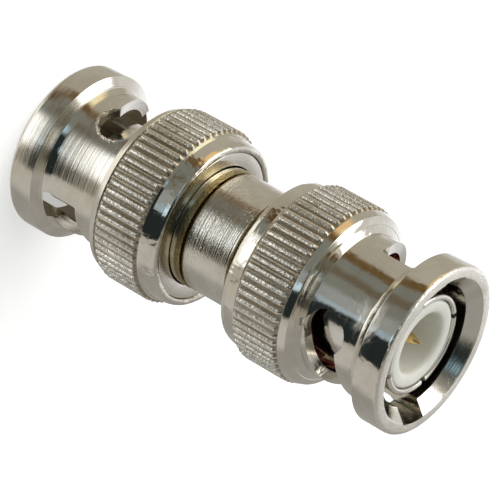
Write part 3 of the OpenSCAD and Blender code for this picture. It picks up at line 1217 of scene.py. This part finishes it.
            # The grooves between the crests are painted darker, dirt and painted shade in one
            return NutZone.KNURL if r > self.root_r + half_ridge else NutZone.GROOVE_DIRT_AND_SHADE
        if at.z > self.mouth - self.rim_width and r > self.throat_r + near:
            return NutZone.RIM
        if at.z > self.mouth - self.countersink - near / 2 and r < self.throat_r + near:
            return NutZone.THROAT
        # Faces deep in a detent hole get a painted shade
        in_hole = math.hypot(at.y, at.z - self.detent_h) < self.detent_r + 2 * self.bevel
        if in_hole and r > self.bore_r + near and abs(at.x) < self.barrel_r - self.hole_shade_depth:
            return NutZone.PAINTED_HOLE_SHADE
        return NutZone.WALL

    def dress(self, finishes: Finishes) -> None:
        """Builds the nut and gives it its finish.

        Args:
            finishes: The adapter's finishes.
        """
        by_zone = {
            NutZone.WALL: finishes.walls[self.end],
            NutZone.BAND: finishes.buffed,
            NutZone.KNURL: finishes.knurled,
            NutZone.GROOVE_DIRT_AND_SHADE: finishes.groove,
            NutZone.RIM: finishes.rim,
            NutZone.THROAT: finishes.throat,
            NutZone.PAINTED_HOLE_SHADE: finishes.drilled,
        }
        settle(self.build(), [by_zone[zone] for zone in NutZone], self.end.named("nut"),
               "nickel_nut", self.end.named("coupling_nut"))
        self.dress_burrs(finishes)


@dataclass
class NutRetention:
    """Washers that hold a nut on its body, and the springs that pull it back."""

    end: End
    bore_r: float = 4.95
    outer_r: float = 6.25
    rear: float = 3.27
    front: float = 3.87
    bevel: float = 0.26

    def dress(self, nodes: dict[str, bpy.types.Object], finishes: Finishes) -> None:
        """Builds the washer that shows and finishes the hidden ones.

        Args:
            nodes: The construction nodes by name.
            finishes: The adapter's finishes.
        """
        knots: list[Knot] = [
            (self.bore_r, self.rear, 0.05),
            (self.outer_r - self.bevel, self.rear, 0.03),
            (self.outer_r, self.rear + self.bevel, 0.03),
            (self.outer_r, self.front, 0.02),
            (self.bore_r, self.front, 0.02),
        ]
        washer = turned_piece(self.end.named("washer_face"), knots, self.end.placement())
        settle(washer, finishes.washer, self.end.named("nut"), "nickel_body",
               self.end.named("retaining_washer"))
        for word, finish in (
            ("slip_washer", finishes.brass),
            ("wave_washer_a", finishes.spring),
            ("wave_washer_b", finishes.spring),
        ):
            data = nodes[self.end.named(word)].data
            data.materials.clear()
            data.materials.append(finish)


@dataclass
class PlugCore:
    """What stands still in a plug: body, contact tube, insulator and gasket.

    Names that end in _r are radii. The others are heights, lengths and widths, in millimetres, and
    slit_turn is in degrees.
    """

    end: End
    journal_r: float = 4.86
    flange_r: float = 5.85
    worn_shade_front: float = 2.85
    tube_r: float = 4.05
    tube_bore_r: float = 3.62
    tube_front: float = 16.74
    foot_r: float = 4.3
    slit_w: float = 0.42
    slit_length: float = 4.4
    slit_turn: float = 53.5
    polymer_r: float = 3.6
    polymer_front: float = 16.67
    well_r: float = 2.42
    well_floor: float = 11.37
    body_bore_r: float = 3.22
    spigot_r: float = 4.35
    spigot_rear: float = 0.1
    journal_rear: float = 2.35
    flange_rear: float = 5.55
    flange_front: float = 6.75
    socket_r: float = 4.32
    socket_floor: float = 3.35
    gasket_r: float = 4.8
    gasket_front: float = 8.25
    foot_front: float = 8.28
    tail_r: float = 3.2
    tail_rear: float = 0.05
    core_bore_r: float = 1.22
    core_bore_front: float = 9.29
    pin_hole_r: float = 0.92

    def dress(self, finishes: Finishes) -> None:
        """Builds the four pieces and gives them their finishes.

        Args:
            finishes: The adapter's finishes.
        """
        self.dress_body(finishes)
        self.dress_gasket(finishes)
        self.dress_insulator(finishes)
        self.dress_tube(finishes)

    def dress_body(self, finishes: Finishes) -> None:
        """Builds the body with its spigot, journal and flange.

        Args:
            finishes: The adapter's finishes.
        """
        body: list[Knot] = [
            (self.body_bore_r, self.spigot_rear, 0.0),
            (self.spigot_r - 0.1, self.spigot_rear, 0.03),
            (self.spigot_r, self.spigot_rear + 0.1, 0.03),
            (self.spigot_r, self.journal_rear, 0.03),
            (self.journal_r, self.journal_rear, 0.07),
            (self.journal_r, self.worn_shade_front, 0.0),
            (self.journal_r, self.flange_rear, 0.04),
            (self.flange_r, self.flange_rear, 0.04),
            (self.flange_r, self.flange_front, 0.1),
            (self.socket_r, self.flange_front, 0.03),
            (self.socket_r, self.socket_floor, 0.02),
            (self.body_bore_r, self.socket_floor, 0.02),
        ]
        turning = turned_piece(self.end.named("body_turning"), body, Matrix.Identity(4))
        for polygon in turning.data.polygons:
            # Faces next to the sleeve get the brown of worn plating and painted shade
            polygon.material_index = int(polygon.center.z < self.worn_shade_front)
        turning.data.transform(self.end.placement())
        settle(turning, [finishes.journal, finishes.stained], "adapter", "nickel_body",
               self.end.named("body"))

    def dress_gasket(self, finishes: Finishes) -> None:
        """Builds the gasket at the foot of the contact tube.

        Args:
            finishes: The adapter's finishes.
        """
        gasket: list[Knot] = [
            (self.socket_r, self.flange_front, 0.1), (self.gasket_r, self.flange_front, 0.1),
            (self.gasket_r, self.gasket_front, 0.14), (self.socket_r, self.gasket_front, 0.1),
        ]
        ring = turned_piece(self.end.named("gasket_ring"), gasket, self.end.placement())
        settle(ring, finishes.silicone, "adapter", "red_gasket", self.end.named("gasket"))

    def dress_insulator(self, finishes: Finishes) -> None:
        """Builds the insulator with its rounded well.

        Args:
            finishes: The adapter's finishes.
        """
        polymer: list[Knot] = [
            (self.core_bore_r, self.tail_rear, 0.02),
            (self.tail_r, self.tail_rear, 0.05),
            (self.tail_r, self.socket_floor, 0.02),
            (self.polymer_r, self.socket_floor, 0.02),
            (self.polymer_r, self.polymer_front, 0.42),
            (self.well_r, self.polymer_front, 0.62),
            (self.well_r, self.well_floor, 0.12),
            (self.pin_hole_r, self.well_floor, 0.03),
            (self.pin_hole_r, self.core_bore_front, 0.02),
            (self.core_bore_r, self.core_bore_front, 0.02),
        ]
        turning = turned_piece(self.end.named("insulator_turning"), polymer,
                               self.end.placement(), steps=8)
        settle(turning, finishes.polymer, "adapter", "white_insulator",
               self.end.named("insulator"))

    def dress_tube(self, finishes: Finishes) -> None:
        """Builds the contact tube with its slits.

        Args:
            finishes: The adapter's finishes.
        """
        knots: list[Knot] = [
            (self.tube_bore_r, self.socket_floor, 0.02), (self.foot_r, self.socket_floor, 0.02),
            (self.foot_r, self.foot_front, 0.05), (self.tube_r, self.foot_front, 0.02),
            (self.tube_r, self.tube_front, 0.2), (self.tube_bore_r, self.tube_front, 0.1),
        ]
        mesh = lathe(rounded(knots, 6), even_columns(288))
        tube = piece_from(mesh, self.end.named("finger_tube"), MILLED_EDGE)
        cutters = []
        for quarter in range(2):
            box = bmesh.new()
            bmesh.ops.create_cube(box, size=1.0)
            low = self.tube_front - self.slit_length
            high = self.tube_front + 0.5
            turn = math.radians(self.slit_turn + 90 * quarter)
            shape = (
                Matrix.Rotation(turn, 4, "Z")
                @ Matrix.Translation((0, 0, (low + high) / 2))
                @ Matrix.Diagonal((10.0, self.slit_w, high - low, 1.0))
            )
            bmesh.ops.transform(box, matrix=shape, verts=box.verts)
            cutters.append(box)
        carve(tube, cutters)
        tube.data.transform(self.end.placement())
        settle(tube, finishes.tube, "adapter", "contact_tube", self.end.named("contact_tube"))


@dataclass
class Neck:
    """Sleeve between the nuts and the centre contact that runs through it.

    Names that end in _r are radii and the others heights, in millimetres.
    """

    sleeve_r: float = 4.83
    sleeve_bore_r: float = 4.37
    sleeve_half: float = 2.1
    worn_shade_from: float = 1.97
    pin_r: float = 0.675
    pin_tip_r: float = 0.08
    pin_tip: float = 16.48
    pin_taper: float = 14.752
    pin_foot: float = 11.4
    foot_r: float = 0.895
    core_r: float = 1.2
    core_half: float = 9.27

    def dress(self, finishes: Finishes) -> None:
        """Builds the sleeve and the contact and gives them their finishes.

        Args:
            finishes: The adapter's finishes.
        """
        place = End.UPPER.placement()
        sleeve: list[Knot] = [
            (self.sleeve_bore_r, -self.sleeve_half, 0.03), (self.sleeve_r, -self.sleeve_half, 0.1),
            (self.sleeve_r, -self.worn_shade_from, 0.0), (self.sleeve_r, self.worn_shade_from, 0.0),
            (self.sleeve_r, self.sleeve_half, 0.1), (self.sleeve_bore_r, self.sleeve_half, 0.03),
        ]
        turning = turned_piece("neck_turning", sleeve, Matrix.Identity(4))
        for polygon in turning.data.polygons:
            # The sleeve's ends next to the bodies get the same brown of worn plating and painted
            # shade
            polygon.material_index = int(abs(polygon.center.z) > self.worn_shade_from)
        turning.data.transform(place)
        settle(turning, [finishes.sleeve, finishes.stained], "adapter", "nickel_body",
               "neck_sleeve")
        half: list[Knot] = [
            (0.0, self.pin_tip, 0.0), (self.pin_tip_r, self.pin_tip, 0.03),
            (self.pin_r, self.pin_taper, 0.3), (self.pin_r, self.pin_foot, 0.02),
            (self.foot_r, self.pin_foot, 0.03), (self.foot_r, self.core_half, 0.02),
            (self.core_r, self.core_half, 0.03),
        ]
        knots = half + [(r, -h, size) for r, h, size in reversed(half)]
        settle(turned_piece("contact_rod", knots, place, count=96), finishes.gold, "adapter",
               "gold_pin", "centre_contact")


# ---------------------------------------------------------------------------------------------
# Studio
# ---------------------------------------------------------------------------------------------


@dataclass(frozen=True)
class SoftPatch:
    """A patch of light or shade in the tent round the adapter, in degrees.

    Azimuth 0 is toward -Y and 90 toward +X. Elevation is above the horizon.
    """

    azimuth: float
    half_azimuth: float
    elevation: float
    half_elevation: float
    colour: Colour
    soft: float = 6.0

    def mask(
        self, wire: Wiring, azimuth: bpy.types.NodeSocket, elevation: bpy.types.NodeSocket
    ) -> bpy.types.NodeSocket:
        """Adds the nodes that tell how far a direction lies in the patch.

        Args:
            wire: Wiring of the tent's node tree.
            azimuth: Azimuth of the direction, in degrees.
            elevation: Elevation of the direction, in degrees.

        Returns:
            The mask, 1 inside the patch and 0 outside.
        """
        away = wire.maths("ABSOLUTE", wire.maths(
            "WRAP", wire.maths("SUBTRACT", azimuth, self.azimuth), 180.0, -180.0))
        rise = wire.maths("ABSOLUTE", wire.maths("SUBTRACT", elevation, self.elevation))
        across = wire.ramp(away, self.half_azimuth + self.soft / 2,
                           self.half_azimuth - self.soft / 2)
        upward = wire.ramp(rise, self.half_elevation + self.soft / 2,
                           self.half_elevation - self.soft / 2)
        return wire.maths("MULTIPLY", across, upward)


@dataclass(frozen=True)
class MattDisc:
    """A flat disc with a faint light of its own, which belongs to the stage."""

    name: str
    finish: str
    radius: float
    segments: int
    h: float
    colour: Colour
    roughness: float
    glow: Colour
    glow_strength: float

    def make(self) -> bpy.types.Object:
        """Makes the disc, in the frame's metres.

        Returns:
            The disc.
        """
        mesh = bmesh.new()
        bmesh.ops.create_circle(mesh, cap_ends=True, radius=self.radius, segments=self.segments)
        bmesh.ops.translate(mesh, vec=(0, 0, self.h), verts=mesh.verts)
        data = bpy.data.meshes.new(self.name)
        mesh.to_mesh(data)
        mesh.free()
        disc = bpy.data.objects.new(self.name, data)
        bpy.context.scene.collection.objects.link(disc)
        material, _, shader = new_material(self.finish)
        shader.inputs["Base Color"].default_value = self.colour
        shader.inputs["Roughness"].default_value = self.roughness
        shader.inputs["Specular IOR Level"].default_value = 0.0
        shader.inputs["Emission Color"].default_value = self.glow
        shader.inputs["Emission Strength"].default_value = self.glow_strength
        data.materials.append(material)
        return disc


class Studio:
    """Camera, light tent and floor."""

    CAMERA_AT = (0.0, -0.20903, 0.13168)
    CAMERA_AXES = (
        (-0.49269, 0.41520, 0.76477),
        (-0.87020, -0.23434, -0.43339),
        (-0.00073, -0.87903, 0.47676),
    )
    LENS = 230.29
    SENSOR = 36.0
    # Polished metal doesn't mirror the floor. The inside of the lower mouth mirrors the dark disc
    # that lies just under it, a painted shade with a faint painted glow for the mouth's dim inside.
    FLOOR = MattDisc("floor", "pale_floor", 0.9, 96, 0.0, rgb(0.9, 0.9, 0.9), 0.9, rgb(1, 1, 1),
                     0.45)
    MOUTH_SHADE = MattDisc("mouth_shade", "mouth_shade", 6.2 * MM, 48, -0.4 * MM,
                           rgb(0.02, 0.02, 0.02), 1.0, from_screen(92, 84, 68), 1.0)
    LAMPS = (("key_lamp", (-0.35, -0.25, 0.55), 0.4, 0.9),
             ("fill_lamp", (0.45, -0.1, 0.4), 0.4, 0.3))
    BACKDROP = rgb(0.93, 0.93, 0.93)
    # The tent's colours are those that nickel of this colour shows when it mirrors them
    NICKEL = rgb(0.74, 0.71, 0.64)
    TENT = from_screen(168, 162, 147)
    PATCHES = (
        SoftPatch(-112, 50, -6, 38, from_screen(164, 157, 139), 12),
        SoftPatch(-166, 30, 20, 46, from_screen(206, 202, 193), 14),
        SoftPatch(-172, 16, -20, 50, from_screen(240, 238, 232), 14),
        SoftPatch(122, 60, 4, 60, from_screen(146, 142, 132), 14),
        SoftPatch(76, 18, -6, 42, from_screen(178, 173, 161), 12),
        SoftPatch(0, 180, 80, 13, from_screen(116, 112, 96), 8),
        SoftPatch(-24, 34, 6, 62, from_screen(116, 115, 104), 8),
        SoftPatch(-31, 6, -18, 16, from_screen(98, 88, 70), 8),
        SoftPatch(3, 11, -10, 30, from_screen(140, 142, 135), 10),
        SoftPatch(-60, 7, -6, 33, from_screen(98, 76, 44), 6),
        SoftPatch(-78, 14, 0, 13, from_screen(224, 186, 134), 10),
        SoftPatch(-86, 17, 20, 13, from_screen(250, 240, 196), 9),
        SoftPatch(-104, 28, 48, 14, rgb(2.6, 2.5, 2.3), 6),
        SoftPatch(-142, 16, 60, 9, rgb(2.2, 2.1, 1.9), 6),
        SoftPatch(34, 18, 6, 48, from_screen(33, 38, 36), 4),
        SoftPatch(20, 32, 36, 20, from_screen(32, 37, 35), 8),
        SoftPatch(12, 48, 66, 14, from_screen(34, 40, 38), 7),
        SoftPatch(13, 3, -24, 10, from_screen(150, 164, 168), 4),
        SoftPatch(12, 5, 4, 12, from_screen(196, 216, 224), 6),
        SoftPatch(-17, 6, 27, 6, from_screen(168, 190, 198), 6),
        SoftPatch(-12, 12, 68, 6, from_screen(150, 176, 184), 6),
        SoftPatch(40, 44, -43, 8, from_screen(176, 168, 150), 10),
        SoftPatch(-74, 30, -43, 8, from_screen(158, 149, 130), 10),
        SoftPatch(-51, 9, -44, 9, from_screen(80, 56, 28), 7),
        SoftPatch(47, 8, -50, 6, from_screen(88, 68, 42), 6),
        SoftPatch(5, 22, -44, 9, rgb(1.7, 1.65, 1.5), 16),
        SoftPatch(0, 50, -70, 20, from_screen(246, 239, 220), 10),
        SoftPatch(120, 66, -58, 12, from_screen(168, 164, 154), 10),
        SoftPatch(-115, 60, -58, 12, from_screen(156, 147, 127), 10),
    )

    def camera(self) -> None:
        """Makes the scene's camera."""
        data = bpy.data.cameras.new("camera")
        data.sensor_width = self.SENSOR
        data.lens = self.LENS
        data.clip_start, data.clip_end = 0.01, 10.0
        camera = bpy.data.objects.new("camera", data)
        axes = Matrix(self.CAMERA_AXES).transposed().to_4x4()
        camera.matrix_world = Matrix.Translation(self.CAMERA_AT) @ axes
        bpy.context.scene.collection.objects.link(camera)
        bpy.context.scene.camera = camera

    def lamp(self, name: str, at: Vector, size: float, power: float) -> None:
        """Makes a soft square lamp that looks at the adapter.

        Args:
            name: Name of the lamp.
            at: Its place, in metres.
            size: Length of its side, in metres.
            power: Its power, in watts.
        """
        data = bpy.data.lights.new(name, "AREA")
        data.size = size
        data.energy = power
        lamp = bpy.data.objects.new(name, data)
        lamp.location = at
        aim = Vector((0, 0, HALF_LENGTH * MM)) - at
        lamp.rotation_euler = aim.to_track_quat("-Z", "Y").to_euler()
        lamp.visible_glossy = False
        bpy.context.scene.collection.objects.link(lamp)

    def tent(self) -> None:
        """Makes the light tent that the metal mirrors, with its soft patches."""
        world = bpy.data.worlds.new("light_tent")
        bpy.context.scene.world = world
        world.use_nodes = True
        wire = Wiring(world.node_tree)
        world.node_tree.nodes.clear()
        toward = wire.add("ShaderNodeTexCoord").outputs["Generated"]
        parts = wire.add("ShaderNodeSeparateXYZ", in0=toward)
        x, y, z = parts.outputs
        azimuth = wire.maths("DEGREES", wire.maths("ARCTAN2", x, wire.maths("MULTIPLY", y, -1.0)))
        elevation = wire.maths("DEGREES", wire.maths("ARCSINE", z))
        colour: object = self.TENT
        for patch in self.PATCHES:
            colour = wire.mix(patch.mask(wire, azimuth, elevation), colour, patch.colour)
        lift = wire.add("ShaderNodeMix", data_type="RGBA", blend_type="DIVIDE", in0=1.0)
        wire.feed(lift.inputs[6], colour)
        wire.feed(lift.inputs[7], self.NICKEL)
        seen = wire.add("ShaderNodeLightPath").outputs["Is Camera Ray"]
        shown = wire.mix(seen, lift.outputs[2], self.BACKDROP)
        back = wire.add("ShaderNodeBackground", Color=shown, Strength=1.0)
        out = wire.add("ShaderNodeOutputWorld")
        wire.feed(out.inputs["Surface"], back.outputs[0])

    def build(self) -> None:
        """Builds the whole studio."""
        self.camera()
        self.tent()
        self.FLOOR.make().visible_glossy = False
        self.MOUTH_SHADE.make()
        for name, at, size, power in self.LAMPS:
            self.lamp(name, Vector(at), size, power)
        scene = bpy.context.scene
        scene.view_settings.view_transform = "Standard"
        scene.view_settings.look = "None"


# Each end, the turn of its nut in degrees and the size of its burrs in millimetres
NUTS = ((End.UPPER, 118.2, 0.0), (End.LOWER, 54.9, 0.1))


def main() -> None:
    """Builds every piece of the adapter and its studio."""
    logging.basicConfig(level=logging.INFO, format="%(name)s: %(message)s")
    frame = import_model()
    Studio().build()
    finishes = Finishes(Effects())
    Neck().dress(finishes)
    for end, turn, burr_size in NUTS:
        PlugCore(end).dress(finishes)
        NutRetention(end).dress(frame["nodes"], finishes)
        CouplingNut(end, turn, burr_size=burr_size).dress(finishes)


if __name__ == "__main__":
    main()
